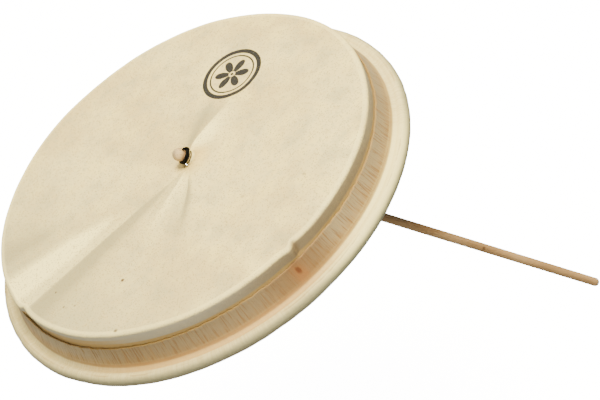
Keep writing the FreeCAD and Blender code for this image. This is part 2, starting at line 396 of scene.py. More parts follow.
def pleat_wave(turn, out=0.0):
    """The pleats round the mouth, -1 to 1."""
    return np.cos(PLEATS * turn + 2.5 * np.cos(turn) + 0.05 * out)


def tent_heights(x, y):
    """Height of the skin's rise to the tie."""
    dx = x - PIVOT[0]
    out = np.hypot(dx, y)
    cosine = np.where(out > 1e-6, dx / np.maximum(out, 1e-6), 1.0)
    tilt = lip_tilt(cosine)
    lip_out = BALL_R * np.cos(tilt)
    lip_up = PIVOT[2] + BALL_R * np.sin(tilt)
    lean = (1 + cosine) / 2
    curl = 0.55 + 2.4 * lean ** 1.2
    reach = 40.0 + 20.0 * lean
    fall = np.log(reach / np.maximum(out, lip_out)) / np.log(reach / lip_out)
    low = 0.12
    fall = np.where(fall > low, fall, low * np.exp(np.minimum(fall - low, 0) / low))
    return (lip_up - curl) * fall + curl * np.exp(-np.maximum(out - lip_out, 0) / 1.25)


def crown_shift(angle):
    """How far the crown's edge steps out or in, round the head."""
    shift = 0.25 * wander(angle, 11, 9, 2)
    for at, (out, out_off, out_width), (back, back_off, back_width), heal in CROWN_PUCKERS:
        off = turn_apart(np.degrees(angle), at)
        shift += out * hump(off + out_off, out_width)
        shift -= back * ease((off + back_off) / back_width) * np.exp(-np.maximum(off, 0) / heal)
    return shift


def face_rings(angle):
    """The playing face from the tie's lip to the crown's turn: rings of points, and the relief at each."""
    lip_out = BALL_R * np.cos(lip_tilt(np.cos(angle)))
    edge = CROWN_R + crown_shift(angle)
    rings = []
    for t in np.linspace(0, 1, FACE_RINGS) ** 1.55:
        centre = PIVOT[0] * (1 - ease(t ** 0.8))
        radius = lip_out * (1 - t) + edge * t
        rings.append(np.stack([centre + radius * np.cos(angle), radius * np.sin(angle)], 1))
    flat = np.array(rings)
    x, y = flat[..., 0], flat[..., 1]
    out = np.hypot(x - PIVOT[0], y)
    turn = np.arctan2(y, x - PIVOT[0])
    pleats = 0.11 * np.exp(-np.maximum(out - 5.0, 0) / 5.0) * pleat_wave(turn, out)
    pleats *= ease((out - 4.0) / 1.5) * (0.6 - 0.4 * np.cos(turn))
    waves = 0.17 * rolling(x, y, 5, 55.0) + 0.05 * rolling(x, y, 6, 17.0)
    waves *= ease((out - 8.0) / 25.0)
    relief = fold_heights(x, y) + waves
    # far out the hide is pulled flat, so nothing stands above the drum's edge
    far = ease((out - 25.0) / 30.0)
    relief = relief * (1 - far) + far * np.minimum(relief, 0.3 + 0.25 * np.tanh((relief - 0.3) / 0.25))
    relief = relief + FACE_LEVEL * ease((out - 6.0) / 20.0)
    z = tent_heights(x, y) + relief + pleats - HIDE / 2
    return np.stack([x, y, z], 2), relief


def rim_rings(angle, edge_relief):
    """Crown, collar, roll and flap: rings of points down, round the hoop and up to the cut edge."""
    degrees = np.degrees(angle)
    shift = crown_shift(angle)
    low_cut = 1.3 * hump(turn_apart(degrees, -138.0), 38.0) + 0.3 * hump(turn_apart(degrees, -20.0), 30.0)
    ragged = 0.20 * wander(angle, 21, 40, 60) + 0.14 * wander(angle, 22, 60, 150)
    ragged += 0.25 * wander(angle, 23, 12, 8)
    cut_z = CUT_Z - low_cut - ragged
    stand = 0.05 + 0.14 * np.clip(wander(angle, 24, 7, 2) + 0.4, 0, 2)
    lumps = 0.10 * wander(angle, 25, 20, 6) + 0.04 * wander(angle, 26, 50, 40)
    collar_wave = 0.16 * wander(angle, 27, 22, 14)
    rings = []

    def ring(radius, z):
        rings.append(np.stack([radius * np.cos(angle), radius * np.sin(angle), z + 0 * angle], 1))

    for step in range(1, 11):
        bend = math.radians(9.0 * step)
        drop = HIDE / 2 + CROWN_TURN * (1 - math.cos(bend))
        ring(CROWN_R + shift + CROWN_TURN * math.sin(bend), edge_relief * (1 - 0.25 * step / 10) - drop)
    for z, radius in COLLAR:
        fade = float(ease((z + 16.0) / 12.6))
        swell = math.sin(math.pi * min(1.0, max(0.0, (-z - 4.0) / 22.0)))
        ring(radius + shift * fade + collar_wave * 0.5 * swell, z + edge_relief * 0.75 * fade)
    for step in range(ROLL_STEPS + 1):
        bend = math.radians(ROLL_START + ROLL_STEP * step)
        size = ROLL_R + lumps * max(0.0, math.sin(math.pi * step / ROLL_STEPS))
        ring(HOOP_R + size * math.cos(bend), HOOP_Z + size * math.sin(bend))
    for radius, z in FLAP_FOOT:
        ring(radius + lumps * 0.5, z)
    foot_r, foot_z = FLAP_FOOT[-1]
    top_r = WAIST_R + 1.15 + stand + (WAIST_Z - cut_z) * 0.28
    for step in range(1, FLAP_STEPS + 1):
        t = step / FLAP_STEPS
        belly = 0.25 * math.sin(math.pi * t)
        ring(foot_r + (top_r - foot_r) * t - belly + collar_wave * t * 0.6, foot_z + (cut_z - foot_z) * t)
    return np.array(rings)


def painted_fold_light(x, y):
    """Painted light and shade on the face, as parts 0 and 2 of a vector: part 0 from the table of painted
    fold light, part 2 from how far the folds' slopes face a light from the front and the lean side.
    """
    nudge = 0.4
    slope_x = (fold_heights(x + nudge, y) - fold_heights(x - nudge, y)) / (2 * nudge)
    slope_y = (fold_heights(x, y + nudge) - fold_heights(x, y - nudge)) / (2 * nudge)
    # painted shading: how far each fold's slope faces a light from the front and the lean side
    flank_shading = np.clip((0.9 * slope_y - 0.35 * slope_x) * 12.0, -1, 1)
    return np.stack([np.clip(fold_heights(x, y, FOLD_LIGHT), -1, 1), np.zeros_like(x), flank_shading], -1)


def hide_skin():
    """The whole hide in one sheet, open only at the tie, and how far it runs past the crown's turn."""
    angle = np.linspace(-math.pi, math.pi, AROUND, endpoint=False)
    face, relief = face_rings(angle)
    points = np.concatenate([face, rim_rings(angle, relief[-1])], 0)
    step = np.linalg.norm(np.diff(points, axis=0), axis=2).mean(1)
    run = np.concatenate([[0.0], np.cumsum(step)])
    run -= run[len(face) - 1]
    # where each point was on the flat hide, and where it is on the band round the rim
    rim = slice(len(face), None)
    place = points * (1, 1, 0)
    place[rim, :, 0] = (CROWN_R + run[rim, None]) * np.cos(angle)
    place[rim, :, 1] = (CROWN_R + run[rim, None]) * np.sin(angle)
    turned = angle + STREAK_SLANT * np.clip(run - STREAK_FROM, 0, None)[:, None]
    along = np.broadcast_to(run[:, None], turned.shape)
    band = np.stack([RIM_R * np.cos(turned), RIM_R * np.sin(turned), along], 2)
    crease = np.zeros_like(points)
    # the crease vectors carry the painted fold light and the painted flank shading
    crease[: len(face)] = painted_fold_light(face[..., 0], face[..., 1])
    stored = {"place": place * MM, "band": band * MM, "crease": crease}
    piece = make_mesh("hide_skin", points, grid_faces(len(points), AROUND), stored)
    group = piece.vertex_groups.new(name="thick")
    for n in range(len(points)):
        group.add(list(range(n * AROUND, (n + 1) * AROUND)), float(ease(n / THIN_RINGS)), "REPLACE")
    wall = thicken(piece, HIDE)
    wall.vertex_group = group.name
    wall.thickness_vertex_group = THIN_SHARE
    return piece, run[-1]


# --------------------------------------------------------------------------------------------------
# The gather, the pouch, the tie and the stick
# --------------------------------------------------------------------------------------------------
def hide_gather():
    """The skin drawn in under the tie: a round throat about the point that the stick leans about."""
    columns, steps = 96, 33
    turn = full_turn(columns)
    rows = []
    for step in range(steps + 1):
        down = math.radians(75.0 + 45.0 * step / steps)
        size = BALL_R - 0.2 + 0.09 * pleat_wave(turn) * math.sin(math.pi * min(1.0, step / 20))
        out = size * math.sin(down)
        rows.append(on_stick(out * np.cos(turn), out * np.sin(turn), size * math.cos(down)))
    piece = make_mesh("hide_gather", rows, grid_faces(len(rows), columns), own_places(rows))
    thicken(piece, 0.2, 1.0)
    return piece


def hide_pouch():
    """The skin gathered over the stick's end: creased under the tie, smooth and round on top."""
    columns, steps = 120, 30
    low, high = 1.6, 5.2
    turn = full_turn(columns)
    profile = []  # radius, height, and how much it is wrinkled
    for up in np.linspace(low, high, 16):
        waist = 0.06 * math.sin(math.pi * (up - low) / (high - low))
        profile.append((SLEEVE_R - POUCH_INSET - waist, up, 1.0))
    start = math.radians(-33.0)
    knob = KNOB_R - POUCH_INSET
    for step in range(1, steps):
        bend = start + (math.pi / 2 - start) * step / steps
        profile.append((knob * math.cos(bend), BEAD_UP + knob * math.sin(bend), max(0.0, 1 - step / 24)))
    wrinkle = 0.5 * np.cos(11 * turn + 1.3 * np.sin(2 * turn))
    wrinkle += 0.35 * np.cos(17 * turn + 2.0) + 0.25 * np.cos(5 * turn + 1)
    rows = []
    for radius, up, share in profile:
        lumpy = radius * (1 + 0.012 * np.cos(3 * turn + 0.6 * up) + 0.010 * np.cos(2 * turn - up))
        size = lumpy + 0.16 * wrinkle * share * min(1.0, radius / 2.0)
        rows.append(on_stick(size * np.cos(turn), size * np.sin(turn), up + 0.05 * wrinkle * share))
    tip = PIVOT + STICK_UP * (BEAD_UP + knob - 0.04)
    points = np.concatenate([np.reshape(rows, (-1, 3)), [tip]])
    faces = grid_faces(len(rows), columns) + last_cap(len(rows), columns, len(points) - 1)
    piece = make_mesh("hide_pouch", points, faces, own_places(points))
    thicken(piece, POUCH_WALL)
    return piece


def laid_cord(name, path, radius, pitch):
    """A cord of three strands twisted together along a path of points, with rounded cut ends."""
    strands, around = 3, 18
    path = np.asarray(path, float)
    tangent = np.gradient(path, axis=0)
    tangent /= np.linalg.norm(tangent, axis=1)[:, None]
    run = np.concatenate([[0.0], np.cumsum(np.linalg.norm(np.diff(path, axis=0), axis=1))])
    turn = full_turn(around)
    rounding = radius * 0.8
    side = np.cross(tangent[0], STICK_UP)
    rows = []
    twist = []
    for n in range(len(path)):
        side = side - tangent[n] * (side @ tangent[n])
        side /= np.linalg.norm(side)
        other = np.cross(tangent[n], side)
        lay = turn - TURN * run[n] / pitch
        size = radius * (0.93 + 0.07 * np.cos(strands * lay))
        from_end = min(run[n], run[-1] - run[n])
        if from_end < rounding:
            size = size * math.sqrt(max(0.05, 1 - (1 - from_end / rounding) ** 2))
        round_path = (size * np.cos(turn))[:, None] * side + (size * np.sin(turn))[:, None] * other
        rows.append(path[n] + round_path)
        twist.append(np.stack([np.cos(lay), np.sin(lay), np.full(around, run[n])], 1))
    points = np.concatenate([*rows, path[:1], path[-1:]])
    twist = np.concatenate([*twist, [(0, 0, run[0]), (0, 0, run[-1])]])
    first, last = len(points) - 2, len(points) - 1
    faces = grid_faces(len(rows), around) + first_cap(around, first) + last_cap(len(rows), around, last)
    return make_mesh(name, points, faces, {"lay": twist * MM})


def curve_through(corners, count):
    """Points along a smooth curve that goes through every corner."""
    corners = np.array(corners)
    found = []
    for value in np.linspace(0, len(corners) - 1, count):
        i = int(min(value, len(corners) - 2))
        u = value - i
        before, here = corners[max(i - 1, 0)], corners[i]
        there, after = corners[i + 1], corners[min(i + 2, len(corners) - 1)]
        square = 2 * before - 5 * here + 4 * there - after
        cube = 3 * here - before - 3 * there + after
        found.append(0.5 * (2 * here + (there - before) * u + square * u * u + cube * u ** 3))
    return found


def by_knot(degrees, out, up):
    """A point round the stick, by the angle from the knot, the distance out and the height up the stick."""
    angle = KNOT_TURN + math.radians(degrees)
    return on_stick(out * math.cos(angle), out * math.sin(angle), up)


def black_tie():
    """The tie: a waxed cord wound twice round the gathered skin, knotted and cut short."""
    path = []
    # two close turns, from the knot round to the knot, that climb as they pass it
    for t in np.linspace(0.0, 1.0, 190):
        turn = KNOT_TURN + 0.10 + t * (2 * TURN - 0.2)
        up = TIE_UP - 0.66 + 1.32 * ease((t - 0.42) / 0.16)
        out = TIE_TURN_R + 0.02 * math.sin(7 * turn)
        path.append(on_stick(out * math.cos(turn), out * math.sin(turn), up))
    turns = laid_cord("tie_turns", path, CORD_R * 0.97, 3.4)
    # the knot: one bight over both turns, and the cut tail laid along the knob
    bight = [
        by_knot(-15, 4.35, 2.95), by_knot(-8, 4.95, 3.2), by_knot(0, 5.25, 4.0), by_knot(7, 4.95, 4.85),
        by_knot(13, 4.35, 5.25),
    ]
    knot = laid_cord("tie_knot", curve_through(bight, 40), CORD_R * 0.85, 3.0)
    cut_tail = [
        by_knot(10, 4.35, 3.2), by_knot(4, 5.0, 3.9), by_knot(-4, 4.95, 4.9), by_knot(-10, 4.72, 6.0),
        by_knot(-20, 4.78, 7.0), by_knot(-36, 4.8, 7.6),
    ]
    tail = laid_cord("tie_tail", curve_through(cut_tail, 60), CORD_R * 0.8, 3.0)
    bpy.context.view_layer.update()
    with bpy.context.temp_override(active_object=turns, selected_editable_objects=[turns, knot, tail]):
        bpy.ops.object.join()
    turns.name = "tie_cord_wound"
    return turns


def stick_rod():
    """The bamboo stick: turned by hand, so a little uneven, with one worn joint and a rounded end."""
    columns = 48
    turn = full_turn(columns)
    profile = [(0.0, 0.55), (0.12, 1.15), (0.42, 1.75), (0.95, 2.3), (1.6, 2.62), (2.4, STICK_R)]
    profile = [(STICK_LOW + rise, radius) for rise, radius in profile]
    profile += [(up, STICK_R) for up in np.linspace(STICK_LOW + 4.0, BEAD_UP, 170)]
    rows = []
    for up, radius in profile:
        far = (up - STICK_LOW) / STICK_LENGTH
        worn = 1 - 0.010 * math.sin(9 * far) - 0.008 * math.sin(23 * far + 1)
        joint = 0.07 * hump(far - 0.41, 0.006) + 0.03 * hump(far - 0.425, 0.004)
        flats = 1 - 0.010 * np.cos(5 * turn + 2 * far) - 0.008 * np.cos(3 * turn + 1.0)
        size = np.minimum(radius * worn * flats + joint, STICK_R + 0.04)
        rows.append(on_stick(size * np.cos(turn), size * np.sin(turn), up))
    for bend in np.linspace(0.15, 1.5, 10):
        size = STICK_R + 0.2 * math.sin(bend * 2)
        out = size * math.cos(bend)
        rows.append(on_stick(out * np.cos(turn), out * np.sin(turn), BEAD_UP + size * math.sin(bend)))
    tips = [PIVOT + STICK_UP * (STICK_LOW - 0.02), PIVOT + STICK_UP * (BEAD_UP + STICK_R)]
    points = np.concatenate([np.reshape(rows, (-1, 3)), tips])
    first, last = len(points) - 2, len(points) - 1
    faces = grid_faces(len(rows), columns) + first_cap(columns, first) + last_cap(len(rows), columns, last)
    return make_mesh("stick_rod", points, faces, own_places(points))


# --------------------------------------------------------------------------------------------------
# Finishes
# --------------------------------------------------------------------------------------------------
HIDE_PALE = tone(222, 207, 148)
HIDE_WARM = tone(232, 215, 140)
HIDE_DEEP = tone(207, 187, 128)
HIDE_GREY = tone(182, 173, 132)
# painted highlight: on the folds' lit sides, along the crown's edge and on the roll's top
HIDE_HIGHLIGHT = tone(255, 243, 170)
HIDE_GOLD = tone(214, 180, 96)
# painted shade on the folds' shaded sides
HIDE_FOLD_SHADE = tone(156, 147, 112)
# painted shade for the crown's pucker
HIDE_PUCKER_SHADE = tone(120, 96, 64)
HIDE_PORE = tone(148, 128, 86)
CROWN_BAND = tone(192, 184, 156)
# darker grey for the painted shade down the crown's turn
CROWN_SHADE = tone(160, 148, 118)
CROWN_BROWN = tone(142, 122, 92)
COLLAR_BROWN = tone(186, 154, 90)
ROLL_PALE = tone(224, 212, 156)
ROLL_LINE = tone(198, 180, 122)
ROLL_TAN = tone(212, 190, 124)
ROLL_GOLD = tone(188, 150, 88)
# painted shade on the roll's outer side, greenish
ROLL_OUTER_SHADE = tone(136, 136, 108)
ROLL_GROOVE = tone(150, 126, 82)
FLAP_GOLD = tone(172, 136, 76)
FLAP_GREY = tone(166, 148, 114)
FLAP_PALE = tone(190, 172, 134)
# painted shade on the flap and the roll
FLAP_SHADE = tone(112, 88, 50)
FLAP_DARK = tone(128, 96, 58)
CUT_GOLD = tone(150, 120, 64)
CREASE_TAN = tone(146, 102, 50)
STAIN = tone(160, 102, 46)
STAIN_DARK = tone(100, 52, 22)
STAIN_AT = -65.8
SPECK_BROWN = tone(72, 48, 24)
INK = tone(4, 4, 4)
INK_PLACE = (46.0, 58.5)
INK_R = 20.0
INK_TILT = math.radians(-34.0)
# Dark specks in the hide: place on the face in millimetres, radius, strength
SPECKS = (
    (73.4, -60.7, 1.5, 0.35),
    (34.1, -52.5, 1.7, 0.30),
    (-49.2, -68.4, 1.5, 0.95),
    (-92.3, -48.0, 0.9, 0.8),
    (-88.6, -64.2, 1.0, 0.6),
    (-59.0, -106.4, 1.6, 0.75),
    (-81.6, -68.2, 0.9, 0.45),
)


class HideMarks:
    """What the hide's colours are worked out from: the places kept on it, and noises from broad to fine."""

    def __init__(self, r):
        self.place = r.place("place")
        band = r.place("band")
        self.x, self.y, _ = r.parts(self.place)
        self.rim_x, self.rim_y, run = r.parts(band)
        self.run = run * TO_MM  # along the hide, outwards from the crown's turn
        # painted light and shade of the folds, as kept on the mesh
        self.wear, _, self.flank_shading = r.parts(r.place("crease"))
        self.cloud = r.noise(self.place, 14.0, 4.0, 0.6)
        self.patch = r.noise(self.place, 45.0, 4.0, 0.6)
        self.fleck = r.noise(self.place, 210.0, 3.0, 0.6)
        self.grain = r.noise(self.place, 900.0, 2.0, 0.5)
        self.pebble = r.cells(self.place, 760.0)
        # streaks down the flap and the collar, from fine to broad
        self.streak = r.noise(r.stretch(band, (1150.0, 1150.0, 60.0)), 1.0, 3.0, 0.6)
        self.stroke = r.noise(r.stretch(band, (260.0, 260.0, 30.0)), 1.0, 3.0, 0.6)
        self.broad = r.noise(r.stretch(band, (40.0, 40.0, 40.0)), 1.0, 3.0, 0.6)
        self.lean_side = (self.rim_x + self.rim_y * 0.2).between(-0.01, 0.11)
        # low_side places painted shade on the flap, and gold at the roll's foot
        self.low_side = self.from_rim(-92.0).between(0.120, 0.050)
        self.on_face = self.run.between(3.0, 0.0)

    def from_rim(self, degrees):
        """How far a place is from one angle round the rim, in metres."""
        angle = math.radians(degrees)
        x, y = RIM_R * MM * math.cos(angle), RIM_R * MM * math.sin(angle)
        return length_of(self.rim_x - x, self.rim_y - y)

    def from_face(self, x, y):
        """How far a place is from one on the face, given in millimetres, in metres."""
        return length_of(self.x - x * MM, self.y - y * MM)


def face_colour(r, m):
    """Mottled cream with fine pores. Painted highlights and painted shade lie along the folds, for their
    lit and shaded sides.
    """
    colour = r.mix(m.cloud.between(0.38, 0.64), HIDE_DEEP, HIDE_PALE)
    colour = r.mix(m.patch.between(0.48, 0.66) * 0.60, colour, HIDE_WARM)
    colour = r.mix(m.patch.between(0.50, 0.34) * 0.60, colour, HIDE_GREY)
    colour = r.mix((m.x + m.y * 0.4 + m.cloud * 0.08).between(0.03, -0.12) * 0.95, colour, HIDE_GREY)
    colour = r.mix(m.fleck.between(0.52, 0.70) * 0.55, colour, HIDE_DEEP)
    colour = r.mix(m.fleck.between(0.46, 0.32) * 0.40, colour, HIDE_GREY)
    # painted fold light and shade, broken up by the patch noise
    wear = m.wear + (m.patch - 0.5) * 0.6
    # painted highlight on the folds' lit sides, painted shade on their shaded sides
    colour = r.mix(wear.between(0.0, 1.0) * 0.85, colour, HIDE_HIGHLIGHT)
    colour = r.mix(wear.between(-0.05, -1.0) * 0.75, colour, HIDE_FOLD_SHADE)
    # painted highlight and painted shade from how the folds' slopes face that light
    colour = r.mix(m.flank_shading.between(0.0, 1.0) * 0.30, colour, HIDE_HIGHLIGHT)
    colour = r.mix(m.flank_shading.between(0.0, -1.0) * 0.40, colour, HIDE_FOLD_SHADE)
    colour = r.mix(m.pebble.between(0.42, 0.10) * 0.70, colour, HIDE_PORE)
    return r.mix(m.grain.between(0.58, 0.76) * 0.35, colour, HIDE_GREY)


def crown_colour(r, m, colour):
    """A painted highlight along the edge, then the greyer crown, browner on the lean side, with painted
    shade down its turn and round -50 degrees, painted shade in its pucker, and the golden collar.
    """
    run = m.run
    # painted highlight along the crown's edge
    colour = r.mix(run.band(-0.6, 1.4, 1.0) * 0.35, colour, HIDE_HIGHLIGHT)
    # painted shade down the crown's turn, then brown on the lean side and painted shade round -50 degrees
    crown = r.mix(run.between(2.0, 10.0) * 0.30, CROWN_BAND, CROWN_SHADE)
    shaded = m.from_rim(-50.0).between(0.115, 0.030)
    crown = r.mix((m.lean_side * 0.55).most(shaded * 0.85), crown, CROWN_BROWN)
    colour = r.mix(run.band(3.0, 9.0, 1.2) * 0.9, colour, crown)
    # painted shade in the pucker
    pucker = m.from_rim(-63.4).between(0.0042, 0.0004)
    colour = r.mix(pucker * run.band(1.6, 10.0, 1.6) * 0.55, colour, HIDE_PUCKER_SHADE)
    golden = m.from_rim(-148.0).between(0.085, 0.040)
    colour = r.mix(golden * run.band(6.0, 11.0, 1.4) * 0.85, colour, COLLAR_BROWN)
    return r.mix(run.band(10.2, 32.0, 1.6) * 0.9, colour, COLLAR_BROWN)


def roll_colour(r, m, colour):
    """The roll round the hoop: pale, lined and tan in places, with painted greenish shade on its outer
    side, painted shade round -125 degrees, a painted highlight on top, and one faint groove painted in as a
    darker line of shade.
    """
    run = m.run
    roll = r.mix(m.streak.between(0.40, 0.62) * 0.60, ROLL_PALE, ROLL_LINE)
    roll = r.mix(m.broad.between(0.45, 0.7) * 0.45, roll, ROLL_TAN)
    colour = r.mix(run.band(40.0, 53.0, 3.0) * 0.9, colour, roll)
    # painted greenish shade on the roll's outer side
    colour = r.mix(run.band(35.0, 43.5, 4.0) * 0.85, colour, ROLL_OUTER_SHADE)
    # painted shade on the roll round -125 degrees
    dull = m.from_rim(-125.0).between(0.160, 0.080)
    colour = r.mix(dull * run.band(38.0, 54.0, 2.0) * 0.20, colour, FLAP_SHADE)
    # painted highlight on the roll's top, round -36 degrees
    roll_highlight = m.from_rim(-36.0).between(0.075, 0.030)
    colour = r.mix(roll_highlight * run.band(45.0, 53.0, 3.0) * 0.65, colour, HIDE_HIGHLIGHT)
    # a faint groove painted in as a darker line of shade
    groove = (run + (m.broad - 0.5) * 3.0).band(47.0, 47.3, 0.5)
    return r.mix(groove * m.broad.between(0.40, 0.60) * 0.5, colour, ROLL_GROOVE)


def flap_colour(r, m, colour, run_end):
    """The streaked flap, from the tan crease at its foot to its golden cut edge, with painted shade on the
    lean side and round -92 degrees.
    """
    run = m.run
    flap = r.mix(run.between(54.0, 63.0), FLAP_GOLD, FLAP_GREY)
    flap = r.mix(m.streak.between(0.40, 0.62) * 0.40, flap, FLAP_PALE)
    # painted shade on the flap, on the lean side and round -92 degrees
    flap = r.mix((m.lean_side * 0.25).most(m.low_side * 0.55), flap, FLAP_SHADE)
    flap = r.mix(m.streak.between(0.46, 0.36) * 0.80, flap, FLAP_DARK)
    flap = r.mix(m.stroke.between(0.55, 0.75) * 0.35, flap, FLAP_GOLD)
    flap = r.mix(run.between(run_end - 0.7, run_end - 0.2) * 0.9, flap, CUT_GOLD)
    colour = r.mix(run.band(50.5, 57.0, 2.0) * m.low_side * 0.80, colour, ROLL_GOLD)
    colour = r.mix(run.between(54.5, 57.5), colour, flap)
    return r.mix(run.band(54.4, 55.4, 1.2) * (0.35 + 0.4 * m.broad), colour, CREASE_TAN)


def stained(r, m, colour):
    """One rusty stain on the flap, with a dark middle."""
    aside = m.from_rim(STAIN_AT)
    ragged = (m.stroke - 0.5) * 0.006 + (m.fleck - 0.5) * 0.004
    far = length_of(aside, (m.run - 60.5) * 0.0006) + ragged
    colour = r.mix(far.between(0.034, 0.006) * m.run.between(52.0, 58.0) * 0.65, colour, FLAP_DARK)
    colour = r.mix(far.between(0.0085, 0.0010) * m.run.between(53.0, 57.0) * 0.50, colour, STAIN)
    far = length_of(aside, (m.run - 62.5) * 0.0005) + ragged * 0.35
    return r.mix(far.between(0.0019, 0.0005) * 0.8, colour, STAIN_DARK)


def specked(r, m, colour):
    """Brown specks on the face, the chosen ones and a fine scatter."""
    specks = r.cells(m.place, 70.0).between(0.035, 0.012) * m.patch.between(0.44, 0.56) * 0.45
    for x, y, size, strength in SPECKS:
        far = m.from_face(x, y) + (m.grain - 0.5) * 0.0012
        specks = specks.most(far.between(size * 1.05 * MM, size * 0.35 * MM) * strength)
    return r.mix(specks * m.on_face, colour, SPECK_BROWN)


def stamp(r, m):
    """A round ink stamp with a six-petal rosette, on the outer side only: 1 where there is ink."""
    dx = m.x - INK_PLACE[0] * MM
    dy = m.y - INK_PLACE[1] * MM
    u = dx * math.cos(INK_TILT) - dy * math.sin(INK_TILT)
    v = dx * math.sin(INK_TILT) + dy * math.cos(INK_TILT)
    far = length_of(u, v) * TO_MM
    way = u.sum("ARCTAN2", v, u)
    wave = way.sum("COSINE", way * 3.0)
    petal = wave.sum("ABSOLUTE", wave) ** 0.7 * (INK_R * 0.60)
    soft = 0.25
    ring = far.band(INK_R * 0.86, INK_R, soft)
    thin = far.band(INK_R * 0.72, INK_R * 0.76, soft)
    leaves = (petal - far).between(-soft, soft) * far.between(INK_R * 0.10, INK_R * 0.13)
    heart = far.between(INK_R * 0.06, INK_R * 0.04)
    _, _, outer = r.parts(r.add("ShaderNodeNewGeometry", output="Normal"))
    return ring.most(thin).most(leaves).most(heart) * m.on_face * outer.between(0.0, 0.3)


def hide_finish(run_end):
    """Dry rawhide: mottled cream, fine pebbled grain, painted light and shade on the folds and round the
    rim, a browner flap and one stain.
    """
    r = Recipe("rawhide")
    m = HideMarks(r)
    colour = crown_colour(r, m, face_colour(r, m))
    colour = flap_colour(r, m, roll_colour(r, m, colour), run_end)
    colour = stained(r, m, colour)
    # a golden tint where the skin is drawn up to the tie
    colour = r.mix(m.from_face(PIVOT[0], 0.0).between(0.015, 0.006) * 0.45, colour, HIDE_GOLD)
    colour = specked(r, m, colour)
    mark = stamp(r, m)
    colour = r.mix(mark * (1 - m.grain.between(0.62, 0.74) * 0.14), colour, INK)

    lines = m.run.between(33.0, 42.0)
    bumps = r.bump(m.pebble * 0.45 + m.grain * 0.5 + m.fleck * 0.8, 0.7, 0.00035)
    bumps = r.bump(m.streak * lines + m.stroke * lines * 0.6, 0.55, 0.00030, bumps)
    return r.finish(
        {"subsurface_method": "RANDOM_WALK"},
        Base_Color=colour,
        Roughness=0.56 + 0.12 * m.cloud - 0.10 * m.wear.between(0.1, 0.8) - 0.12 * mark,
        Normal=bumps,
        Specular_IOR_Level=0.32,
        Sheen_Weight=0.08,
        Sheen_Roughness=0.5,
    )


def gathered_finish():
    """The same hide drawn tight over the stick's end: greyer on top and pinkish, with painted brown shade
    by the tie.
    """
    r = Recipe("rawhide_gathered")
    place = r.place("place")
    along = r.place("along")
    _, _, up = r.parts(along)
    up = up * TO_MM
    patch = r.noise(place, 160.0, 3.0, 0.6)
    grain = r.noise(place, 900.0, 2.0, 0.5)
    streak = r.noise(r.stretch(along, (1400.0, 1400.0, 160.0)), 1.0, 3.0, 0.6)
    # darker brown low down: painted shade by the tie
    colour = r.mix(up.between(4.6, 8.6), tone(146, 112, 80), tone(188, 164, 122))
    colour = r.mix(patch.between(0.45, 0.7) * 0.4, colour, tone(204, 182, 142))
    colour = r.mix(up.between(9.6, 11.4) * 0.7, colour, tone(140, 130, 110))
    colour = r.mix(streak.between(0.48, 0.66) * 0.65, colour, tone(118, 86, 58))
    colour = r.mix(up.between(2.6, 1.4), colour, HIDE_PALE)
    bumps = r.bump(grain + streak * 1.2, 0.5, 0.00018)
    rough = 0.52 + 0.12 * patch
    return r.finish(None, Base_Color=colour, Roughness=rough, Normal=bumps, Specular_IOR_Level=0.42)


def bamboo_finish():
    """Sanded bamboo: pale tan with long fine fibres, with the head's shadow painted on it towards the head,
    a joint and a fleck.
    """
    r = Recipe("bamboo_bare")
    along = r.place("along")
    _, sideways, up = r.parts(along)
    up = up * TO_MM
    fibre = r.noise(r.stretch(along, (2600.0, 2600.0, 22.0)), 1.0, 3.0, 0.6)
    fine = r.noise(r.stretch(along, (6000.0, 6000.0, 60.0)), 1.0, 2.0, 0.5)
    cloud = r.noise(r.stretch(along, (60.0, 60.0, 24.0)), 1.0, 3.0, 0.6)
    colour = r.mix(cloud.between(0.35, 0.65), tone(152, 120, 80), tone(176, 144, 100))
    colour = r.mix(fibre.between(0.50, 0.66) * 0.55, colour, tone(126, 92, 54))
    colour = r.mix(fine.between(0.58, 0.72) * 0.40, colour, tone(188, 158, 112))
    # painted shadow of the head: darker towards the head
    colour = r.mix(up.between(-185.0, -120.0) * 0.60, colour, tone(78, 56, 30))
    joint = up.band(-166.5, -164.5, 1.2) + up.band(-162.0, -161.2, 0.8) * 0.6
    colour = r.mix(joint * 0.35, colour, tone(120, 86, 50))
    colour = r.mix(up.between(-286.5, -289.0) * 0.35, colour, tone(120, 92, 60))
    fleck = length_of(up + 203.0, (sideways * TO_MM + 2.2) * 2.0)
    colour = r.mix(fleck.between(1.5, 0.6) * 0.8, colour, tone(92, 62, 36))
    bumps = r.bump(fibre + fine * 0.6, 0.6, 0.00016)
    rough = 0.50 + 0.14 * fibre
    return r.finish(None, Base_Color=colour, Roughness=rough, Normal=bumps, Specular_IOR_Level=0.4)


def cord_finish():
    """Black waxed cord: twisted fibres, dusty on their crowns."""
    r = Recipe("waxed_cord")
    lay = r.place("lay")
    fibre = r.noise(r.stretch(lay, (4000.0, 4000.0, 1500.0)), 1.0, 3.0, 0.6)
    dust = r.noise(lay, 500.0, 3.0, 0.6)
    colour = r.mix(fibre.between(0.45, 0.75) * 0.5, tone(2, 2, 2), tone(9, 9, 9))
    colour = r.mix(dust.between(0.66, 0.84) * 0.20, colour, tone(30, 28, 26))
    bumps = r.bump(fibre, 0.6, 0.00012)
    rough = 0.55 + 0.2 * fibre
    return r.finish(None, Base_Color=colour, Roughness=rough, Normal=bumps, Specular_IOR_Level=0.10)


